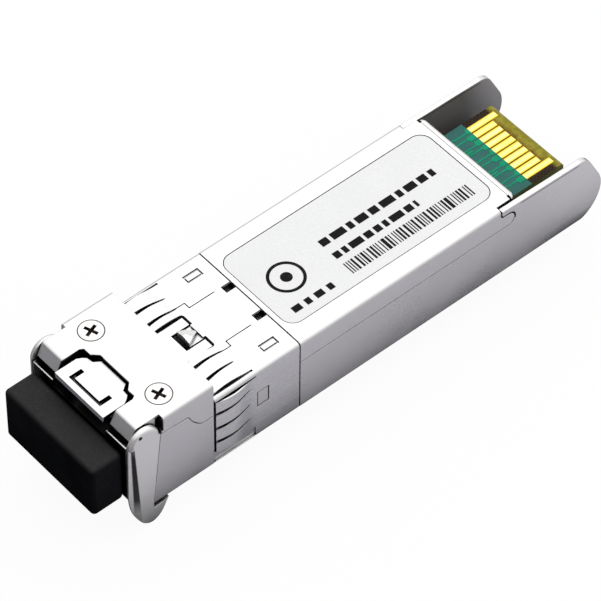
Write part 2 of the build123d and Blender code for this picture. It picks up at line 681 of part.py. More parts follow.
def circuit_board():
    """Glass-fibre board: wide inside the body, narrow tongue at the edge connector."""
    board = block(-BOARD_HALF, BOARD_HALF, BOARD_START, TONGUE_START, BOARD_BOTTOM, BOARD_TOP)
    board += block(-TONGUE_HALF, TONGUE_HALF, TONGUE_START, BOARD_END, BOARD_BOTTOM, BOARD_TOP)
    end_edges = board.edges().filter_by(Axis.X).group_by(Axis.Y)[-1]
    return chamfer(end_edges, 0.25)


def pad_x(i):
    return (i - (PAD_COUNT - 1) / 2) * PAD_PITCH


def edge_contacts(z0, z1):
    """Row of gold contacts; the outer two are longer, so they touch first."""
    pads = []
    for i in range(PAD_COUNT):
        outer = i in (0, PAD_COUNT - 1)
        end = OUTER_PAD_END if outer else PAD_END
        x = pad_x(i)
        pads.append(block(x - PAD_W / 2, x + PAD_W / 2, PAD_FRONT, end, z0, z1))
    return Compound(children=pads)


def track(i):
    """Copper from one contact: a wide tail at the contact, then a thin run to the chips."""
    x = pad_x(i)
    tail_half = PAD_W / 2 - 0.02
    tail_end = PAD_FRONT - 0.45 - 0.14 * (i * 3 % 4)
    jog = 0.16 if i % 3 == 1 else -0.1
    run = (x - 0.17, x - 0.02) if i % 2 else (x + 0.02, x + 0.17)
    low, high = run
    bend = 36.2 - 0.3 * (i % 3)
    end = 34.0
    return polygon(
        (x - tail_half, PAD_FRONT), (x + tail_half, PAD_FRONT), (x + tail_half, tail_end + 0.15),
        (high, tail_end), (high, bend), (high + jog, bend - 0.25), (high + jog, end),
        (low + jog, end), (low + jog, bend - 0.25), (low, bend), (low, tail_end),
        (x - tail_half, tail_end + 0.15))


def board_traces():
    """Copper tracks from the contacts towards the chips, and two wider pours between them."""
    z0 = BOARD_TOP
    z1 = BOARD_TOP + TRACK_T
    tracks = [upward(track(i), z0, z1) for i in range(PAD_COUNT)]
    for x in (-1.6, 1.6):
        pour = rounded_rect(x - 0.11, x + 0.11, 34.6, 36.6, 0.1)
        tracks.append(upward(pour, z0, z1))
    return Compound(children=tracks)


def chip(x, y, size_x, size_y, height, z):
    """Moulded chip with slightly softened top edges."""
    body = block(x - size_x / 2, x + size_x / 2, y - size_y / 2, y + size_y / 2, z, z + height)
    return chamfer(body.edges().group_by(Axis.Z)[-1], 0.08)


def small_parts(places, size_x, size_y, height):
    """Group of equal small components on the board's top."""
    parts = []
    for x, y in places:
        parts.append(block(x - size_x / 2, x + size_x / 2, y - size_y / 2, y + size_y / 2,
                           BOARD_TOP, BOARD_TOP + height))
    return Compound(children=parts)


def capacitor_places():
    row = [(x, 25.8) for x in (-4, -2.6, -1.2, 0.2, 1.6, 3)]
    column = [(side * 4.2, y) for side in (-1, 1) for y in (18.3, 19.8, 21.3, 22.8)]
    return row + column


def resistor_places():
    row = [(x, 28.6) for x in (-3.4, -2.0, -0.6, 0.8, 2.2, 3.6)]
    return row + [(x, 30.4) for x in (-2.7, -1.3, 0.1, 1.5, 2.9)]


def thermal_pad():
    """Soft pad that carries the driver chip's heat into the cover."""
    return block(-4.1, -0.3, 13.6, 17.4, BOARD_TOP + 0.9, BODY_H - ROOF)


# ---------------------------------------------------------------- label, screws, plug

def rating_label():
    gap = LABEL_GAP
    face = rounded_rect(gap - LABEL_HALF, LABEL_HALF - gap, LABEL_START + gap, LABEL_END - gap,
                        LABEL_CORNER - gap)
    return upward(face, BODY_H - LABEL_RECESS, BODY_H - 0.02)


def cover_screw(x):
    """Countersunk cross-head screw."""
    middle = NOSE_TOP - SCREW_HEAD_H / 2
    screw = Pos(x, SCREW_Y, middle) * Cone(SCREW_R, SCREW_HEAD_R, SCREW_HEAD_H)
    screw += rod_z(x, SCREW_Y, SCREW_R, SCREW_END, NOSE_TOP - SCREW_HEAD_H + 0.1)
    arm = 0.68
    half = 0.16
    for turn in (20, 110):
        slot = block(-arm, arm, -half, half, NOSE_TOP - 0.5, NOSE_TOP + 1)
        screw -= Pos(x, SCREW_Y, 0) * Rot(0, 0, turn) * slot
    return screw


def cover_screws():
    return Compound(children=[cover_screw(-SCREW_X), cover_screw(SCREW_X)])


def dust_plug():
    """Rubber plug that closes both ports: a block to grip and two short prongs."""
    grip = block(-PLUG_HALF, PLUG_HALF, PLUG_FRONT, PLUG_BACK, PLUG_BOTTOM, PLUG_TOP)
    grip = fillet(grip.edges(), 0.45)
    prong = rounded_rect(PORT_X - PRONG_HALF, PORT_X + PRONG_HALF, PORT_Z - PRONG_HALF,
                         PORT_Z + PRONG_HALF, 0.35)
    return grip + both_sides(rearward(prong, PLUG_BACK - 0.6, PRONG_END))


# ---------------------------------------------------------------- write the parts

def pair(make, *args):
    """Two equal pieces, one in each port."""
    return Compound(children=[make(-PORT_X, *args), make(PORT_X, *args)])


def all_nodes():
    bottom = BOARD_BOTTOM - PAD_T
    return {
        "base_shell": base_shell(),
        "upper_cover": upper_cover(),
        "emi_spring_band": emi_spring_band(),
        "bail": bail(),
        "bail_cam_shaft": cam_shaft(),
        "latch_lever": latch_lever(),
        "lever_pin": lever_pin(),
        "latch_spring": latch_spring(),
        "cover_screws": cover_screws(),
        "rating_label": rating_label(),
        "dust_plug": dust_plug(),
        "transmit_receptacle": receptacle(-PORT_X),
        "receive_receptacle": receptacle(PORT_X),
        "ferrule_sleeves": pair(ferrule_sleeve),
        "coupling_lenses": pair(coupling_lens),
        "transmit_can_holder": can_holder(-PORT_X),
        "receive_can_holder": can_holder(PORT_X),
        "laser_can": diode_can(-PORT_X, 4),
        "photodiode_can": diode_can(PORT_X, 5),
        "transmit_flex": flex_circuit(-PORT_X, True),
        "receive_flex": flex_circuit(PORT_X, False),
        "assembly_clip": assembly_clip(),
        "nose_gasket": nose_gasket(),
        "circuit_board": circuit_board(),
        "edge_contacts_top": edge_contacts(BOARD_TOP, BOARD_TOP + PAD_T),
        "edge_contacts_bottom": edge_contacts(bottom, BOARD_BOTTOM),
        "board_traces": board_traces(),
        "laser_driver_chip": chip(-2.2, 15.5, 4.0, 4.0, 0.9, BOARD_TOP),
        "receiver_amplifier_chip": chip(2.4, 15.2, 3.0, 3.0, 0.75, BOARD_TOP),
        "controller_chip": chip(0, 21.6, 5.0, 5.0, 0.9, BOARD_TOP),
        "capacitors": small_parts(capacitor_places(), 1.0, 0.5, 0.5),
        "resistors": small_parts(resistor_places(), 0.5, 1.0, 0.35),
        "thermal_pad": thermal_pad(),
    }


def write_parts():
    os.makedirs("parts", exist_ok=True)
    for name, shape in all_nodes().items():
        shape.label = name
        export_step(shape, f"parts/{name}.step")


write_parts()
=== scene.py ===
import json
import math

import bmesh
import bpy
from mathutils import Matrix, Vector


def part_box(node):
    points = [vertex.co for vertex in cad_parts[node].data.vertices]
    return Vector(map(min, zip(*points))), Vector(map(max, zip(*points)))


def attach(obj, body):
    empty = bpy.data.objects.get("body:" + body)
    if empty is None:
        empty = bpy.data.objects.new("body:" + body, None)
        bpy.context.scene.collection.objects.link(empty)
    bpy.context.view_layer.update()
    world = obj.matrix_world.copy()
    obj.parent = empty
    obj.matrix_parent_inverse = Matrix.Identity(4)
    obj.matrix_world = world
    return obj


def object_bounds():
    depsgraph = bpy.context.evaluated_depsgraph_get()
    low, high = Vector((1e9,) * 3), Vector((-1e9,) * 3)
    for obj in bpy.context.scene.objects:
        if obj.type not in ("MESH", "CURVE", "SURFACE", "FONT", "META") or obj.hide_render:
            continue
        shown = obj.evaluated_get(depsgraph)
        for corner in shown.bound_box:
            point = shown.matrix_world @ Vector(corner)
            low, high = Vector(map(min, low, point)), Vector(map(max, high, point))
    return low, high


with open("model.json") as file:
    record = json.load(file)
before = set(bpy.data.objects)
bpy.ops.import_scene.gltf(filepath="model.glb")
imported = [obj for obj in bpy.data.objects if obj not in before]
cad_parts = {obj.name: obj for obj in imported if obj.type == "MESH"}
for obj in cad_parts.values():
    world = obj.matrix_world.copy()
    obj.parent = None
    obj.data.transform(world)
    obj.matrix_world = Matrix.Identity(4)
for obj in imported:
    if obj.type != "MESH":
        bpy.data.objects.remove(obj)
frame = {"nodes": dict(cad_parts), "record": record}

cad_low, cad_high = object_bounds()
NODES = frame["nodes"]
MM = 0.001

# Places on the module that a material has to know, in millimetres of the shared frame.
# FAR lies beyond every end of it.
FAR = 60
NOSE_FRONT = -8.84
NOSE_HALF = 6.02
NOSE_FACE_TOP = 8.76
NOSE_TOP = 10.47
HOLLOW_BOTTOM = 7
TROUGH_FRONT = -8.8
TROUGH_REAR = -7.9
TROUGH_TOP = 9.22
WINDOW_HALF = 3.53
WINDOW_REAR = -4.92
SKIRT_INSIDE_HALF = 6.22
SKIRT_FRONT = 34.0
SKIRT_TOP = 8.2
# Where the painted shade on the inner faces of the rear skirts deepens, and where it fades out towards
# their rear ends.
SKIRT_DARKENS = (38.5, 40.5)
SKIRT_SHADE_FADES = (41.3, 44.8)
SKIRT_FOOT_FRONT = 38.0
SKIRT_RIM_FRONT = 34.6
SKIRT_RIM_REAR = 41.5
SKIRT_RIM_LOW = 7.96
SKIRT_RIM_HIGH = 8.08
SKIRT_SLOPE = 0.024
SKIRT_SLOPE_START = 32.2
FLOOR_EDGE_TOP = 0.9
FACET_TOP = 8.8
FACET_REAR = -8.42
FACET_LEAN = 0.0566
FACET_WIDTH = 0.24
FACET_WIDENS = 0.033
LEVER_LIP_REAR = -8.8
SCREW_X = 4.44
SCREW_Y = -3.96
SCREW_RADIUS = 1.05
CROSS_DEPTH = 0.42
PAD_PITCH = 0.8
PAD_FRONT = 37.9
BARE_FRONT = 40.4
BARE_HALF = 3.98
WEAVE_PITCH = 0.42
FLEX_PITCH = 0.7

# Printed marks on the label, in millimetres of the shared frame.
INK_T = 0.012
SYMBOL_AT = (0.3, 13.4)
SYMBOL_OUT = 1.75
SYMBOL_IN = 1.45
DOT_OUT = 0.55
PRINT_START = 18.0
PRINT_END = 31.0
STRIPES_END = 32.0

# Studio: how the floor and the room look, and how far the floor reaches.
FLOOR_HALF = 1600
FLOOR_DROP = 0.2
FLOOR_GLOW = 0.94
FLOOR_MIRRORED = (0.56, 0.548, 0.592, 1.0)
FLOOR_REAR = (0.64, 0.628, 0.668, 1.0)
FLOOR_SHADOW = (0.02, 0.02, 0.022, 1.0)
SHADOW_SIDE = (6.9, 10.5)
SHADOW_FRONT = (-12.0, -9.0)
SHADOW_FADES = (-26.0, -14.0)
REAR_SHEEN = (40.0, 50.0)
SKY_HIGH = 1.02
SKY_LOW = 0.2
SKY_LEAN = 0.45
KEY_POWER = 0.12

# Camera: degrees, millimetres, and the focal length in widths of one picture point.
PICTURE_SIDE = 601
SENSOR_MM = 36.0
AZIMUTH = 48.826
ELEVATION = 49.735
ROLL = 0.617
AIM = (0, 17.0, 4.25)
DISTANCE = 363.816
SHIFT_RIGHT = -1.3032
SHIFT_UP = -1.2133
FOCAL_POINTS = 4232.0

# Near black for painted shade in gaps and hollows, and for the painted reflection of the plug on the nose
# front.
SHADE_BLACK = 0.012


# ---------------------------------------------------------------- node helpers

class Nodes:
    """Small helper that builds one material's node tree."""

    def __init__(self, name):
        self.material = bpy.data.materials.new(name)
        self.material.use_nodes = True
        self.tree = self.material.node_tree
        self.tree.nodes.clear()
        self.out = self.tree.nodes.new("ShaderNodeOutputMaterial")
        self.shader = self.tree.nodes.new("ShaderNodeBsdfPrincipled")
        self.link(self.shader.outputs[0], self.out.inputs["Surface"])
        self.coords = self.tree.nodes.new("ShaderNodeTexCoord").outputs["Object"]

    def link(self, output, socket):
        self.tree.links.new(output, socket)

    def put(self, socket, value):
        """Links a node output into a socket, or sets the socket to a plain value."""
        if isinstance(value, bpy.types.NodeSocket):
            self.link(value, socket)
        else:
            socket.default_value = value

    def set(self, **values):
        """Inputs of the main shader, by name with underscores."""
        for name, value in values.items():
            self.put(self.shader.inputs[name.replace("_", " ")], value)

    def scaled(self, scale):
        """Object coordinates stretched by a three-part scale, for grain that runs one way."""
        node = self.tree.nodes.new("ShaderNodeMapping")
        self.link(self.coords, node.inputs["Vector"])
        node.inputs["Scale"].default_value = scale
        return node.outputs[0]

    def noise(self, scale, detail=4.0, rough=0.55, vector=None):
        """Cloudy value of about 0.3 to 0.7; scale counts patches per metre."""
        node = self.tree.nodes.new("ShaderNodeTexNoise")
        node.inputs["Scale"].default_value = scale
        node.inputs["Detail"].default_value = detail
        node.inputs["Roughness"].default_value = rough
        self.link(vector or self.coords, node.inputs["Vector"])
        return node.outputs["Fac"]

    def cells(self, scale):
        """Distance to the nearest of many scattered points, for pits and specks."""
        node = self.tree.nodes.new("ShaderNodeTexVoronoi")
        node.inputs["Scale"].default_value = scale
        self.link(self.coords, node.inputs["Vector"])
        return node.outputs["Distance"]

    def fit(self, value, low, high, to_low, to_high):
        """Moves a value from one range to another, held at both ends."""
        node = self.tree.nodes.new("ShaderNodeMapRange")
        self.put(node.inputs["Value"], value)
        limits = {"From Min": low, "From Max": high, "To Min": to_low, "To Max": to_high}
        for name, number in limits.items():
            node.inputs[name].default_value = number
        return node.outputs["Result"]

    def ramp(self, value, limits_mm, to_low=0.0, to_high=1.0):
        """Goes from one number to another between two places along a coordinate."""
        low, high = limits_mm
        return self.fit(value, low * MM, high * MM, to_low, to_high)

    def mix(self, amount, first, second):
        """Colour between first and second."""
        node = self.tree.nodes.new("ShaderNodeMix")
        node.data_type = "RGBA"
        self.put(node.inputs["Factor"], amount)
        self.put(node.inputs[6], first)
        self.put(node.inputs[7], second)
        return node.outputs[2]

    def math(self, kind, first, second=0.0):
        """One arithmetic step on numbers or node outputs."""
        node = self.tree.nodes.new("ShaderNodeMath")
        node.operation = kind
        self.put(node.inputs[0], first)
        self.put(node.inputs[1], second)
        return node.outputs[0]

    def split(self, vector):
        """The X, Y and Z outputs of a vector."""
        node = self.tree.nodes.new("ShaderNodeSeparateXYZ")
        self.link(vector, node.inputs[0])
        return node.outputs

    def rounded(self, radius_mm):
        """Normals that turn over each edge as a small radius would."""
        node = self.tree.nodes.new("ShaderNodeBevel")
        node.samples = 4
        node.inputs["Radius"].default_value = radius_mm * MM
        return node.outputs[0]

    def bump(self, height, strength, depth_mm, normal=None):
        """Normals of a fine relief, on top of the given normals."""
        node = self.tree.nodes.new("ShaderNodeBump")
        node.inputs["Strength"].default_value = strength
        node.inputs["Distance"].default_value = depth_mm * MM
        self.put(node.inputs["Height"], height)
        if normal is not None:
            self.link(normal, node.inputs["Normal"])
        return node.outputs[0]

    def within(self, value, low_mm, high_mm, soft_mm=0.04):
        """1 where a coordinate lies between two limits, with slightly soft ends."""
        rising = self.ramp(value, (low_mm - soft_mm, low_mm + soft_mm))
        falling = self.ramp(value, (high_mm - soft_mm, high_mm + soft_mm), 1.0, 0.0)
        return self.math("MULTIPLY", rising, falling)

    def all_of(self, *masks):
        """1 only where every mask is 1."""
        product = masks[0]
        for mask in masks[1:]:
            product = self.math("MULTIPLY", product, mask)
        return product

    def crevice_shade(self, reach_mm, low, high):
        """1 deep in gaps and inner corners, 0 on open faces: the mask of painted shade."""
        node = self.tree.nodes.new("ShaderNodeAmbientOcclusion")
        node.samples = 8
        node.inputs["Distance"].default_value = reach_mm * MM
        return self.fit(node.outputs["AO"], low, high, 1.0, 0.0)

    def edge_mask(self, radius_mm, low=0.02, high=0.25):
        """1 along edges and corners, 0 on open faces: the bevelled normal against the plain one."""
        bevel = self.rounded(radius_mm)
        plain = self.tree.nodes.new("ShaderNodeNewGeometry").outputs["Normal"]
        dot = self.tree.nodes.new("ShaderNodeVectorMath")
        dot.operation = "DOT_PRODUCT"
        self.link(bevel, dot.inputs[0])
        self.link(plain, dot.inputs[1])
        away = self.math("SUBTRACT", 1.0, dot.outputs["Value"])
        return self.fit(away, low, high, 0.0, 1.0)


def grey(value, warm=0.0):
    """Grey colour; a positive warm adds red and takes blue."""
    return (value * (1 + warm), value, value * (1 - warm), 1.0)


# ---------------------------------------------------------------- materials

def hollow_shade(n):
    """Mask of painted shade: 1 inside the latch window and below the ears, and 1 on the nose front behind
    the plug, where it also stands for a painted reflection of the plug.
    """
    x, y, z = n.split(n.coords)
    side = n.math("ABSOLUTE", x)
    across = n.within(side, -1, NOSE_HALF)
    middle = n.within(side, -1, WINDOW_HALF)
    window = n.all_of(middle, n.within(y, -FAR, WINDOW_REAR), n.within(z, HOLLOW_BOTTOM, NOSE_TOP))
    behind_lip = n.within(y, TROUGH_FRONT, TROUGH_REAR)
    trough = n.all_of(across, behind_lip, n.within(z, HOLLOW_BOTTOM, TROUGH_TOP))
    front = n.all_of(across, n.within(y, -FAR, NOSE_FRONT), n.within(z, -1, NOSE_FACE_TOP))
    return n.math("MAXIMUM", window, n.math("MAXIMUM", trough, front))


def skirt_shade(n, base):
    """Painted shade on the inner faces of the rear skirts, fading out towards their rear ends, painted
    shade along their lower edges near the rear, and a painted shade line along their top edges.

    Gives the new colour and the mask of the inner faces.
    """
    x, y, z = n.split(n.coords)
    between = n.within(n.math("ABSOLUTE", x), -1, SKIRT_INSIDE_HALF)
    inside = n.all_of(between, n.within(y, SKIRT_FRONT, FAR), n.within(z, FLOOR_EDGE_TOP, SKIRT_TOP))
    slanted = n.math("ADD", y, n.math("MULTIPLY", z, 0.25))
    # Painted shade on the inner faces, fading out towards the rear.
    shade = n.mix(n.ramp(slanted, SKIRT_DARKENS), (0.055, 0.034, 0.032, 1), (0.012, 0.01, 0.011, 1))
    shade = n.mix(n.ramp(slanted, SKIRT_SHADE_FADES), shade, (0.62, 0.6, 0.64, 1))
    base = n.mix(inside, base, shade)
    # Painted shade along the lower edge near the rear.
    foot = n.all_of(n.within(z, -1, FLOOR_EDGE_TOP, 0.5), n.within(y, SKIRT_FOOT_FRONT, FAR, 2.0))
    base = n.mix(n.math("MULTIPLY", foot, 0.6), base, grey(0.1))
    # Painted shade line along the sloping top edge.
    drop = n.math("MULTIPLY", n.math("SUBTRACT", y, SKIRT_SLOPE_START * MM), SKIRT_SLOPE)
    along = n.within(y, SKIRT_RIM_FRONT, SKIRT_RIM_REAR, 0.2)
    rim = n.all_of(n.within(n.math("ADD", z, drop), SKIRT_RIM_LOW, SKIRT_RIM_HIGH, 0.03), along)
    base = n.mix(n.math("MULTIPLY", rim, 0.75), base, grey(0.03))
    return base, inside


def arm_facet_shade(n):
    """1 on the steep facet along the front edge of each bail arm: the mask of painted shade there."""
    _, y, z = n.split(n.coords)
    soft = 0.06 * MM
    drop = n.math("SUBTRACT", FACET_TOP * MM, z)
    crease = n.math("ADD", FACET_REAR * MM, n.math("MULTIPLY", drop, FACET_LEAN))
    ahead = n.math("SUBTRACT", crease, y)
    width = n.math("ADD", FACET_WIDTH * MM, n.math("MULTIPLY", drop, FACET_WIDENS))
    begins = n.fit(ahead, 0.0, soft, 0.0, 1.0)
    ends = n.fit(n.math("SUBTRACT", ahead, width), -soft, 0.0, 1.0, 0.0)
    return n.all_of(begins, ends, n.within(z, 0.9, 8.7, 0.9))


def cast_metal(name, tone, rough, grain=1.0, shell=True, metallic=1.0):
    """Nickel-plated die casting: satin, faint orange-peel grain, soft blotches, edges lightened as wear
    and as a painted highlight, painted shade in gaps and inner corners.

    The two shells get painted shade in their hollow places and on the inner faces of the rear skirts, and
    a painted reflection of the plug on the nose front;
    the bail, which is not a shell, gets painted shade on its facets.
    """
    n = Nodes(name)
    blotch = n.noise(260.0, 3.0)
    fine = n.noise(5200.0, 5.0, 0.6)
    peel = n.noise(1500.0, 3.0)
    # Edges lightened as wear and as a painted highlight.
    wear_and_highlight = n.math("MULTIPLY", n.edge_mask(0.14), n.fit(n.noise(900.0, 3.0), 0.4, 0.62, 0.3, 1.0))
    base = n.mix(n.fit(blotch, 0.35, 0.65, 0.0, 1.0), grey(tone * 0.95, 0.012), grey(tone, 0.004))
    base = n.mix(n.fit(fine, 0.45, 0.7, 0.0, 0.25), base, grey(tone * 0.86))
    base = n.mix(wear_and_highlight, base, grey(min(tone * 1.12, 0.97)))
    # Painted shade in gaps and inner corners.
    base = n.mix(n.crevice_shade(0.9, 0.35, 0.72), base, grey(SHADE_BLACK))
    gloss = 0.5
    if shell:
        # Painted shade on the inner faces of the rear skirts, along their lower edges and along their top
        # edges.
        base, inside = skirt_shade(n, base)
        gloss = n.fit(inside, 0.0, 1.0, gloss, 0.04)
        metallic = n.math("SUBTRACT", metallic, n.math("MULTIPLY", inside, 0.85))
        # Painted shade in the latch window and below the ears, and a painted reflection of the plug on
        # the nose front.
        base = n.mix(hollow_shade(n), base, grey(SHADE_BLACK))
    else:
        # Painted shade on the front facets of the bail arms.
        base = n.mix(n.math("MULTIPLY", arm_facet_shade(n), 0.9), base, grey(0.02))
    roughness = n.fit(blotch, 0.3, 0.7, rough - 0.05, rough + 0.06)
    roughness = n.math("ADD", roughness, n.fit(fine, 0.4, 0.7, 0.0, 0.05))
    roughness = n.math("SUBTRACT", roughness, n.math("MULTIPLY", wear_and_highlight, 0.1))
    height = n.math("ADD", n.math("MULTIPLY", peel, 0.7), n.math("MULTIPLY", fine, 0.3))
    normal = n.bump(height, 0.18 * grain, 0.02, n.rounded(0.09))
    n.set(Base_Color=base, Metallic=metallic, Roughness=roughness, Normal=normal,
          Specular_IOR_Level=gloss)
    return n.material


def lever_light_and_shade(n, base):
    """Painted light on the front lip of the lever's plate, and painted shade in black on whatever lies
    below the plate.

    Gives the new colour and the mask of the lip.
    """
    _, y, z = n.split(n.coords)
    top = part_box("latch_lever")[1].z / MM
    lip = n.all_of(n.within(y, -FAR, LEVER_LIP_REAR, 0.02), n.within(z, HOLLOW_BOTTOM, top - 0.07))
    under = n.within(y, LEVER_LIP_REAR + 0.05, WINDOW_REAR - 0.03)
    below = n.all_of(under, n.within(z, HOLLOW_BOTTOM, top - 0.06, 0.02))
    # Painted shade under the plate.
    base = n.mix(below, base, grey(SHADE_BLACK))
    # Painted light on the lip.
    return n.mix(lip, base, (0.42, 0.40, 0.45, 1)), lip


def sheet_metal(name, tone, stretch, rough, lever=False):
    """Rolled sheet or drawn wire: grain along one axis, soft blotches, edges lightened as wear and as a
    painted highlight, painted shade in gaps and inner corners.
    """
    n = Nodes(name)
    grain = n.noise(900.0, 6.0, 0.65, n.scaled(stretch))
    blotch = n.noise(320.0, 3.0)
    # Edges lightened as wear and as a painted highlight.
    wear_and_highlight = n.edge_mask(0.07)
    base = n.mix(n.fit(grain, 0.35, 0.68, 0.0, 1.0), grey(tone * 0.93), grey(tone))
    base = n.mix(n.fit(blotch, 0.4, 0.7, 0.0, 0.35), base, grey(tone * 0.9))
    base = n.mix(n.math("MULTIPLY", wear_and_highlight, 0.6), base, grey(min(tone * 1.15, 0.98)))
    # Painted shade in gaps and inner corners.
    base = n.mix(n.crevice_shade(0.7, 0.3, 0.65), base, grey(0.02))
    metallic = 1.0
    if lever:
        # Painted light on the lever's lip and painted shade under its plate.
        base, lip = lever_light_and_shade(n, base)
        metallic = n.math("SUBTRACT", 1.0, lip)
    roughness = n.fit(grain, 0.3, 0.7, rough - 0.05, rough + 0.07)
    normal = n.bump(grain, 0.12, 0.012, n.rounded(0.04))
    n.set(Base_Color=base, Metallic=metallic, Roughness=roughness, Normal=normal)
    return n.material


def turned_rings(n):
    """Fine rings that a lathe leaves round a piece that lies along Y."""
    return n.noise(2600.0, 4.0, 0.6, n.scaled((0.02, 1.0, 0.02)))


def barrel_metal():
    """Lathe-turned steel barrel: fine rings and soft darker blotches."""
    n = Nodes("barrel_metal")
    tone = 0.66
    rings = turned_rings(n)
    blotch = n.noise(500.0, 3.0)
    base = n.mix(n.fit(rings, 0.35, 0.65, 0.0, 1.0), grey(tone * 0.88, 0.02), grey(tone, 0.02))
    base = n.mix(n.fit(blotch, 0.45, 0.7, 0.0, 0.3), base, grey(tone * 0.8, 0.02))
    n.set(Base_Color=base, Metallic=1.0, Roughness=n.fit(rings, 0.3, 0.7, 0.17, 0.32),
          Normal=n.bump(rings, 0.2, 0.01, n.rounded(0.05)))
    return n.material


def screw_metal():
    """Bright plated screw: finely speckled, darker in the cross and round the rim."""
    n = Nodes("screw_plated")
    fine = n.noise(4200.0, 4.0)
    blotch = n.noise(900.0, 3.0)
    x, y, depth = n.split(n.coords)
    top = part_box("cover_screws")[1].z
    sunk = n.fit(depth, top - CROSS_DEPTH * MM, top - 0.06 * MM, 1.0, 0.0)
    away_x = n.math("SUBTRACT", n.math("ABSOLUTE", x), SCREW_X * MM)
    away_y = n.math("SUBTRACT", y, SCREW_Y * MM)
    squares = n.math("ADD", n.math("MULTIPLY", away_x, away_x), n.math("MULTIPLY", away_y, away_y))
    rim = n.ramp(n.math("SQRT", squares), (SCREW_RADIUS, SCREW_RADIUS + 0.07))
    base = n.mix(n.fit(blotch, 0.4, 0.65, 0.0, 1.0), grey(0.72, 0.02), grey(0.84, 0.012))
    # Edges lightened as wear and as a painted highlight.
    base = n.mix(n.math("MULTIPLY", n.edge_mask(0.06), 0.7), base, grey(0.93))
    base = n.mix(n.math("MULTIPLY", sunk, 0.97), base, (0.03, 0.014, 0.01, 1))
    base = n.mix(n.math("MULTIPLY", rim, 0.9), base, (0.10, 0.075, 0.06, 1))
    n.set(Base_Color=base, Metallic=1.0, Roughness=n.fit(fine, 0.3, 0.7, 0.18, 0.34),
          Normal=n.bump(fine, 0.12, 0.01, n.rounded(0.05)))
    return n.material


def label_film():
    """Silver-white polyester label: fine pearl fleck, slight waviness, soft sheen."""
    n = Nodes("label_film")
    fleck = n.noise(7000.0, 2.0)
    wave = n.noise(160.0, 3.0)
    base = n.mix(n.fit(fleck, 0.4, 0.65, 0.0, 1.0), grey(0.80, -0.004), grey(0.875, -0.002))
    base = n.mix(n.fit(wave, 0.4, 0.7, 0.0, 0.35), base, grey(0.78, -0.004))
    roughness = n.fit(fleck, 0.3, 0.7, 0.36, 0.5)
    height = n.math("ADD", n.math("MULTIPLY", fleck, 0.25), wave)
    n.set(Base_Color=base, Metallic=0.25, Roughness=roughness, Normal=n.bump(height, 0.12, 0.02))
    return n.material


def label_ink():
    """Black thermal print with small missed specks."""
    n = Nodes("label_ink")
    speck = n.noise(9000.0, 3.0)
    base = n.mix(n.fit(speck, 0.62, 0.75, 0.0, 1.0), grey(0.004), grey(0.06))
    n.set(Base_Color=base, Roughness=n.fit(speck, 0.3, 0.7, 0.42, 0.6), Specular_IOR_Level=0.1,
          Normal=n.bump(speck, 0.1, 0.01))
    return n.material


def black_rubber():
    """Matte moulded rubber: fine spark texture, dust in it, greyer rubbed edges, duller sides."""
    n = Nodes("black_rubber")
    spark = n.noise(3800.0, 6.0, 0.7)
    pits = n.cells(2400.0)
    cloud = n.noise(300.0, 4.0)
    tone = n.fit(cloud, 0.35, 0.7, 0.0, 1.0)
    base = n.mix(tone, (0.004, 0.0042, 0.0055, 1), (0.009, 0.0093, 0.011, 1))
    base = n.mix(n.fit(spark, 0.58, 0.75, 0.0, 0.5), base, (0.022, 0.022, 0.025, 1))
    rubbed = n.math("MULTIPLY", n.edge_mask(0.35, 0.01, 0.2), n.fit(cloud, 0.35, 0.6, 0.25, 0.8))
    base = n.mix(rubbed, base, (0.022, 0.023, 0.026, 1))
    roughness = n.fit(spark, 0.3, 0.7, 0.5, 0.72)
    height = n.math("ADD", spark, n.math("MULTIPLY", pits, 0.6))
    upward = n.split(n.tree.nodes.new("ShaderNodeNewGeometry").outputs["Normal"])[2]
    n.set(Base_Color=base, Roughness=roughness, Specular_IOR_Level=n.fit(upward, 0.2, 0.9, 0.06, 0.36),
          Normal=n.bump(height, 0.35, 0.03, n.rounded(0.12)))
    return n.material


def gold_plate():
    """Hard gold over nickel: streaked along the way the contacts slide, deeper at each pad's sides."""
    n = Nodes("contact_gold")
    streak = n.noise(1500.0, 5.0, 0.6, n.scaled((1.0, 0.08, 1.0)))
    cloud = n.noise(700.0, 3.0)
    base = n.mix(n.fit(streak, 0.35, 0.68, 0.0, 1.0), (0.88, 0.77, 0.26, 1), (0.95, 0.87, 0.42, 1))
    base = n.mix(n.fit(cloud, 0.45, 0.7, 0.0, 0.4), base, (0.82, 0.66, 0.13, 1))
    x = n.split(n.coords)[0]
    place = n.math("FRACT", n.math("DIVIDE", x, PAD_PITCH * MM))
    aside = n.math("MULTIPLY", n.math("ABSOLUTE", n.math("SUBTRACT", place, 0.5)), PAD_PITCH)
    base = n.mix(n.fit(aside, 0.1, 0.3, 0.0, 1.0), base, (0.90, 0.62, 0.035, 1))
    roughness = n.fit(streak, 0.3, 0.7, 0.2, 0.38)
    n.set(Base_Color=base, Metallic=1.0, Roughness=roughness,
          Normal=n.bump(streak, 0.15, 0.01, n.rounded(0.03)))
    return n.material


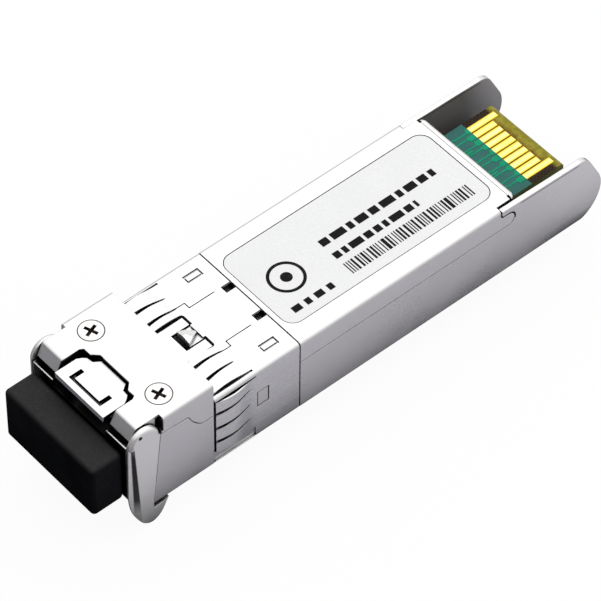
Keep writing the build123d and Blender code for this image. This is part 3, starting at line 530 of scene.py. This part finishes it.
def solder_mask():
    """Board: teal-green mask, bare laminate round the contacts (rusty, then olive), faint woven glass."""
    n = Nodes("board_mask")
    x, y, z = n.split(n.coords)
    threads = 2 * math.pi / (WEAVE_PITCH * MM)
    weave_x = n.math("SINE", n.math("MULTIPLY", x, threads))
    weave_y = n.math("SINE", n.math("MULTIPLY", y, threads))
    weave = n.math("MULTIPLY", weave_x, weave_y)
    cloud = n.noise(500.0, 4.0)
    mask = n.mix(n.fit(cloud, 0.35, 0.7, 0.0, 1.0), (0.006, 0.115, 0.10, 1), (0.012, 0.15, 0.13, 1))
    patch = n.noise(1500.0, 3.0)
    bare = n.mix(n.fit(patch, 0.4, 0.65, 0.0, 1.0), (0.27, 0.22, 0.015, 1), (0.42, 0.38, 0.05, 1))
    rust = n.mix(n.fit(patch, 0.4, 0.65, 0.0, 1.0), (0.13, 0.055, 0.002, 1), (0.26, 0.14, 0.006, 1))
    bare = n.mix(n.ramp(y, (BARE_FRONT, BARE_FRONT + 0.5)), rust, bare)
    corner = n.within(n.math("ABSOLUTE", x), BARE_HALF, FAR)
    beside_pads = n.within(y, 30, BARE_FRONT + 0.6, 0.3)
    bare = n.mix(n.math("MULTIPLY", corner, beside_pads), bare, (0.03, 0.012, 0.006, 1))
    behind = n.ramp(y, (PAD_FRONT, PAD_FRONT + 0.1))
    low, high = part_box("circuit_board")
    edge_low = n.fit(z, low.z + 0.01 * MM, low.z + 0.03 * MM, 0.0, 1.0)
    edge_high = n.fit(z, high.z - 0.03 * MM, high.z - 0.01 * MM, 1.0, 0.0)
    side = n.math("MULTIPLY", edge_low, edge_high)
    base = n.mix(behind, mask, bare)
    base = n.mix(n.math("MULTIPLY", side, 0.8), base, (0.26, 0.27, 0.10, 1))
    # Painted shade in gaps and inner corners.
    base = n.mix(n.crevice_shade(0.8, 0.3, 0.7), base, (0.012, 0.012, 0.01, 1))
    base = n.mix(n.fit(weave, 0.2, 1.0, 0.0, 0.12), base, (0.10, 0.36, 0.25, 1))
    roughness = n.fit(cloud, 0.3, 0.7, 0.26, 0.38)
    height = n.math("ADD", n.math("MULTIPLY", weave, 0.3), cloud)
    n.set(Base_Color=base, Roughness=roughness, Specular_IOR_Level=n.fit(behind, 0.0, 1.0, 0.3, 0.08),
          Normal=n.bump(height, 0.15, 0.01, n.rounded(0.03)))
    return n.material


def track_mask():
    """Copper under the mask: the same green, lighter, over raised tracks."""
    n = Nodes("board_tracks")
    cloud = n.noise(900.0, 3.0)
    base = n.mix(n.fit(cloud, 0.35, 0.7, 0.0, 1.0), (0.002, 0.29, 0.14, 1), (0.006, 0.38, 0.2, 1))
    n.set(Base_Color=base, Roughness=n.fit(cloud, 0.3, 0.7, 0.2, 0.3), Specular_IOR_Level=0.1,
          Normal=n.bump(cloud, 0.1, 0.01, n.rounded(0.03)))
    return n.material


def ceramic(name, light, dark, rough):
    """Fired ceramic or glazed chip: near-even colour, faint speckle and pits."""
    n = Nodes(name)
    speckle = n.noise(3000.0, 4.0)
    base = n.mix(n.fit(speckle, 0.4, 0.68, 0.0, 1.0), light, dark)
    roughness = n.fit(speckle, 0.3, 0.7, rough, rough + 0.12)
    n.set(Base_Color=base, Roughness=roughness, Normal=n.bump(speckle, 0.08, 0.01, n.rounded(0.04)))
    return n.material


def moulded_epoxy():
    """Chip body: dark fine-pitted epoxy with paler specks."""
    n = Nodes("chip_epoxy")
    pit = n.noise(6500.0, 5.0, 0.7)
    cloud = n.noise(800.0, 3.0)
    base = n.mix(n.fit(cloud, 0.35, 0.7, 0.0, 1.0), grey(0.018), grey(0.035))
    base = n.mix(n.fit(pit, 0.6, 0.75, 0.0, 0.6), base, grey(0.08))
    n.set(Base_Color=base, Roughness=n.fit(pit, 0.3, 0.7, 0.42, 0.62),
          Normal=n.bump(pit, 0.3, 0.015, n.rounded(0.04)))
    return n.material


def flex_film():
    """Amber polyimide over copper, glossy, with lines of copper showing through along Y."""
    n = Nodes("flex_polyimide")
    x = n.split(n.coords)[0]
    line = n.math("SINE", n.math("MULTIPLY", x, 2 * math.pi / (FLEX_PITCH * MM)))
    cloud = n.noise(600.0, 3.0)
    film = n.mix(n.fit(cloud, 0.35, 0.7, 0.0, 1.0), (0.50, 0.22, 0.03, 1), (0.62, 0.30, 0.05, 1))
    base = n.mix(n.fit(line, 0.1, 0.5, 0.0, 0.6), film, (0.75, 0.42, 0.16, 1))
    height = n.fit(line, 0.0, 0.6, 0.0, 1.0)
    n.set(Base_Color=base, Roughness=n.fit(cloud, 0.3, 0.7, 0.18, 0.3), Coat_Weight=0.4,
          Normal=n.bump(height, 0.25, 0.02, n.rounded(0.04)))
    return n.material


def soft_pad(name, light, dark):
    """Silicone or conductive rubber: grainy, dull, with bright filler specks."""
    n = Nodes(name)
    grain = n.noise(2600.0, 6.0, 0.7)
    filler = n.cells(3200.0)
    base = n.mix(n.fit(grain, 0.35, 0.7, 0.0, 1.0), dark, light)
    base = n.mix(n.fit(filler, 0.0, 0.18, 0.5, 0.0), base, grey(0.7))
    n.set(Base_Color=base, Roughness=n.fit(grain, 0.3, 0.7, 0.6, 0.8), Normal=n.bump(grain, 0.3, 0.02))
    return n.material


def lens_glass():
    """Clear lens with a faint coating tint and hairline polish."""
    n = Nodes("lens_glass")
    polish = n.noise(4000.0, 3.0)
    base = n.mix(n.fit(polish, 0.4, 0.7, 0.0, 0.5), (0.86, 0.93, 0.97, 1), (0.78, 0.9, 0.95, 1))
    n.set(Base_Color=base, Roughness=n.fit(polish, 0.3, 0.7, 0.02, 0.06), IOR=1.52,
          Transmission_Weight=0.9)
    return n.material


def floor_material():
    """Pale matte sweep: near white to the camera, grey to the metal that mirrors it.

    What the metal sees is darker under the module and close in front of its nose, as in its own shadow.
    """
    n = Nodes("floor_paper")
    tooth = n.noise(40.0, 4.0)
    base = n.mix(n.fit(tooth, 0.4, 0.65, 0.0, 1.0), grey(0.955), grey(0.975))
    n.set(Base_Color=base, Roughness=0.95, Specular_IOR_Level=0.1)
    glow = n.tree.nodes.new("ShaderNodeEmission")
    glow.inputs["Color"].default_value = (1, 1, 1, 1)
    seen = n.tree.nodes.new("ShaderNodeMixShader")
    seen.inputs[0].default_value = FLOOR_GLOW
    n.link(n.shader.outputs[0], seen.inputs[1])
    n.link(glow.outputs[0], seen.inputs[2])
    mirrored = n.tree.nodes.new("ShaderNodeBsdfDiffuse")
    x, y, _ = n.split(n.coords)
    beside = n.ramp(n.math("ABSOLUTE", x), SHADOW_SIDE)
    near_front = n.ramp(y, SHADOW_FRONT, 0.08, 1.0)
    far_front = n.ramp(y, SHADOW_FADES, 0.5, 0.0)
    lit = n.math("MULTIPLY", beside, n.math("MAXIMUM", near_front, far_front))
    shade = n.mix(n.ramp(y, REAR_SHEEN), FLOOR_MIRRORED, FLOOR_REAR)
    n.put(mirrored.inputs["Color"], n.mix(lit, FLOOR_SHADOW, shade))
    which = n.tree.nodes.new("ShaderNodeMixShader")
    n.link(n.tree.nodes.new("ShaderNodeLightPath").outputs["Is Camera Ray"], which.inputs[0])
    n.link(mirrored.outputs[0], which.inputs[1])
    n.link(seen.outputs[0], which.inputs[2])
    n.link(which.outputs[0], n.out.inputs["Surface"])
    return n.material


def package_gold():
    """Gold-flashed metal of the diode packages, with the rings of its lathe."""
    n = Nodes("package_gold")
    rings = turned_rings(n)
    base = n.mix(n.fit(rings, 0.35, 0.65, 0.0, 1.0), (0.72, 0.55, 0.26, 1), (0.85, 0.70, 0.38, 1))
    n.set(Base_Color=base, Metallic=1.0, Roughness=n.fit(rings, 0.3, 0.7, 0.2, 0.34),
          Normal=n.bump(rings, 0.2, 0.01, n.rounded(0.05)))
    return n.material


def make_materials():
    """One material for each slot in the record."""
    return {
        "cast_base": cast_metal("cast_base", 0.82, 0.29),
        "cast_cover": cast_metal("cast_cover", 0.84, 0.29),
        "spring_steel": sheet_metal("spring_steel", 0.84, (1.0, 0.05, 1.0), 0.26),
        "bail_metal": cast_metal("bail_metal", 0.97, 0.32, 0.8, False, 0.75),
        "lever_metal": sheet_metal("lever_metal", 0.84, (0.06, 1.0, 1.0), 0.3, lever=True),
        "pin_steel": sheet_metal("pin_steel", 0.62, (0.05, 1.0, 1.0), 0.2),
        "screw_steel": screw_metal(),
        "label_film": label_film(),
        "black_rubber": black_rubber(),
        "barrel_metal": barrel_metal(),
        "white_ceramic": ceramic("white_ceramic", (0.90, 0.90, 0.88, 1), (0.82, 0.82, 0.79, 1), 0.12),
        "lens_glass": lens_glass(),
        "can_metal": package_gold(),
        "flex_film": flex_film(),
        "clip_metal": sheet_metal("clip_metal", 0.62, (0.05, 1.0, 1.0), 0.28),
        "grey_gasket": soft_pad("grey_gasket", (0.12, 0.12, 0.125, 1), (0.07, 0.07, 0.075, 1)),
        "board_green": solder_mask(),
        "track_green": track_mask(),
        "contact_gold": gold_plate(),
        "chip_black": moulded_epoxy(),
        "capacitor_tan": ceramic("capacitor_tan", (0.36, 0.22, 0.12, 1), (0.26, 0.15, 0.08, 1), 0.3),
        "resistor_black": ceramic("resistor_black", (0.03, 0.03, 0.034, 1), (0.06, 0.06, 0.065, 1), 0.2),
        "pad_pink": soft_pad("pad_pink", (0.36, 0.28, 0.32, 1), (0.28, 0.2, 0.25, 1)),
    }


def paint_nodes(materials):
    """Gives every CAD node the material of its slot."""
    for entry in frame["record"]["subparts"]:
        obj = NODES[entry["node"]]
        obj.data.materials.clear()
        obj.data.materials.append(materials[entry["material_slot"]])


# ---------------------------------------------------------------- printed marks on the label

LABEL_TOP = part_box("rating_label")[1].z


def circle(centre, radius, steps):
    """Points evenly spaced round a circle."""
    turns = [2 * math.pi * i / steps for i in range(steps)]
    return [(centre[0] + radius * math.cos(a), centre[1] + radius * math.sin(a)) for a in turns]


class Print:
    """Flat printed shapes, gathered in one mesh with a little thickness."""

    def __init__(self):
        self.mesh = bmesh.new()

    def outline(self, points):
        """Closed outline in X and Y, in millimetres, printed on top of the label."""
        top = [self.mesh.verts.new((x * MM, y * MM, LABEL_TOP + INK_T * MM)) for x, y in points]
        low = [self.mesh.verts.new((x * MM, y * MM, LABEL_TOP)) for x, y in points]
        self.mesh.faces.new(top)
        self.mesh.faces.new(low[::-1])
        for i in range(len(points)):
            j = (i + 1) % len(points)
            self.mesh.faces.new((top[i], low[i], low[j], top[j]))

    def bar(self, x0, x1, y0, y1):
        """Plain rectangle."""
        self.outline([(x0, y0), (x1, y0), (x1, y1), (x0, y1)])

    def ring(self, centre, outer, inner, steps):
        """Round band between two radii."""
        loops = []
        for radius, height in ((outer, 0.0), (outer, INK_T), (inner, INK_T), (inner, 0.0)):
            level = LABEL_TOP + height * MM
            points = circle(centre, radius, steps)
            loops.append([self.mesh.verts.new((x * MM, y * MM, level)) for x, y in points])
        for one, two in zip(loops, loops[1:] + loops[:1]):
            for i in range(steps):
                j = (i + 1) % steps
                self.mesh.faces.new((one[i], one[j], two[j], two[i]))

    def finish(self, name, material):
        """Turns the gathered shapes into one object that rides on the module's body."""
        bmesh.ops.remove_doubles(self.mesh, verts=self.mesh.verts, dist=1e-7)
        bmesh.ops.recalc_face_normals(self.mesh, faces=self.mesh.faces)
        data = bpy.data.meshes.new(name)
        self.mesh.to_mesh(data)
        self.mesh.free()
        obj = bpy.data.objects.new(name, data)
        bpy.context.scene.collection.objects.link(obj)
        data.materials.append(material)
        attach(obj, "root")


def dash_line(ink, x, start, end, height, widths, gap):
    """Row of plain dashes that stands for a line of print; the widths repeat along Y."""
    y = start
    i = 0
    while y < end:
        width = min(widths[i % len(widths)], end - y)
        ink.bar(x - height / 2, x + height / 2, y, y + width)
        y += width + gap
        i += 1


def stripe_code(ink, x0, x1, start, end):
    """Plain stripes of mixed width across the label; they spell nothing."""
    y = start
    i = 0
    while y < end:
        width = 0.11 + 0.1 * ((i * 7) % 5 in (1, 3)) + 0.12 * ((i * 5) % 7 == 2)
        gap = 0.15 + 0.1 * ((i * 3) % 4 == 1)
        ink.bar(x0, x1, y, min(y + width, end))
        y += width + gap
        i += 1


def printed_marks(ink_material):
    """Generic marks: a ring with a solid dot, three rows of dashes and a row of stripes."""
    ink = Print()
    ink.ring(SYMBOL_AT, SYMBOL_OUT, SYMBOL_IN, 40)
    ink.outline(circle(SYMBOL_AT, DOT_OUT, 24))
    dash_line(ink, -0.6, PRINT_START, PRINT_END, 0.8, (0.9, 1.5, 0.6, 1.2), 0.35)
    dash_line(ink, 1.2, PRINT_START, 27.5, 0.75, (0.7, 0.5, 1.4, 0.8), 0.3)
    stripe_code(ink, 2.3, 3.7, PRINT_START, STRIPES_END)
    dash_line(ink, 3.5, 11.4, 16.0, 0.7, (0.9, 0.6), 0.5)
    ink.finish("label_print", ink_material)


# ---------------------------------------------------------------- studio

def floor():
    """Pale sweep just below the object's lowest point."""
    mesh = bpy.data.meshes.new("studio_floor")
    half = FLOOR_HALF * MM
    grid = bmesh.new()
    low = cad_low.z - FLOOR_DROP * MM
    corners = [(-half, -half), (half, -half), (half, half), (-half, half)]
    grid.faces.new([grid.verts.new((x, y, low)) for x, y in corners])
    grid.to_mesh(mesh)
    grid.free()
    obj = bpy.data.objects.new("studio_floor", mesh)
    bpy.context.scene.collection.objects.link(obj)
    mesh.materials.append(floor_material())


def key_light():
    """One large soft square light above the module."""
    data = bpy.data.lights.new("key_top", "AREA")
    data.shape = "SQUARE"
    data.size = 260 * MM
    data.energy = KEY_POWER
    obj = bpy.data.objects.new("key_top", data)
    bpy.context.scene.collection.objects.link(obj)
    obj.location = Vector((-60, 120, 260)) * MM
    towards = Vector((0, 18, 4)) * MM - obj.location
    obj.rotation_mode = "QUATERNION"
    obj.rotation_quaternion = towards.to_track_quat("-Z", "Y")


def room_light():
    """Soft white room, brighter overhead and towards the module's rear end."""
    world = bpy.data.worlds.new("studio")
    bpy.context.scene.world = world
    world.use_nodes = True
    tree = world.node_tree
    background = tree.nodes["Background"]
    direction = tree.nodes.new("ShaderNodeTexCoord").outputs["Generated"]
    parts = tree.nodes.new("ShaderNodeSeparateXYZ")
    tree.links.new(direction, parts.inputs[0])
    lean = tree.nodes.new("ShaderNodeMath")
    lean.operation = "MULTIPLY_ADD"
    lean.inputs[1].default_value = SKY_LEAN
    tree.links.new(parts.outputs["Y"], lean.inputs[0])
    tree.links.new(parts.outputs["Z"], lean.inputs[2])
    level = tree.nodes.new("ShaderNodeMapRange")
    level.inputs["From Min"].default_value = 0.05
    level.inputs["From Max"].default_value = 0.6
    level.inputs["To Min"].default_value = SKY_LOW
    level.inputs["To Max"].default_value = SKY_HIGH
    tree.links.new(lean.outputs[0], level.inputs["Value"])
    tree.links.new(level.outputs["Result"], background.inputs["Strength"])
    background.inputs["Color"].default_value = (1, 1, 1, 1)


def camera():
    """The photograph's viewing angle, worked out from the module's long edges and contact pitch."""
    azimuth = math.radians(AZIMUTH)
    elevation = math.radians(ELEVATION)
    roll = math.radians(ROLL)
    back = Vector((math.sin(azimuth) * math.cos(elevation), -math.cos(azimuth) * math.cos(elevation),
                   math.sin(elevation)))
    flat_right = Vector((0, 0, 1)).cross(back).normalized()
    flat_up = back.cross(flat_right)
    right = math.cos(roll) * flat_right + math.sin(roll) * flat_up
    up = -math.sin(roll) * flat_right + math.cos(roll) * flat_up
    place = (Vector(AIM) + back * DISTANCE + right * SHIFT_RIGHT + up * SHIFT_UP) * MM
    data = bpy.data.cameras.new("camera")
    data.sensor_width = SENSOR_MM
    data.lens = FOCAL_POINTS * SENSOR_MM / PICTURE_SIDE
    data.clip_start = 0.01
    data.clip_end = 10.0
    obj = bpy.data.objects.new("camera", data)
    bpy.context.scene.collection.objects.link(obj)
    turn = Matrix((right, up, back)).transposed().to_4x4()
    obj.matrix_world = Matrix.Translation(place) @ turn
    bpy.context.scene.camera = obj


# ---------------------------------------------------------------- build the scene

paint_nodes(make_materials())
printed_marks(label_ink())
floor()
room_light()
key_light()
camera()
bpy.context.scene.view_settings.view_transform = "Standard"
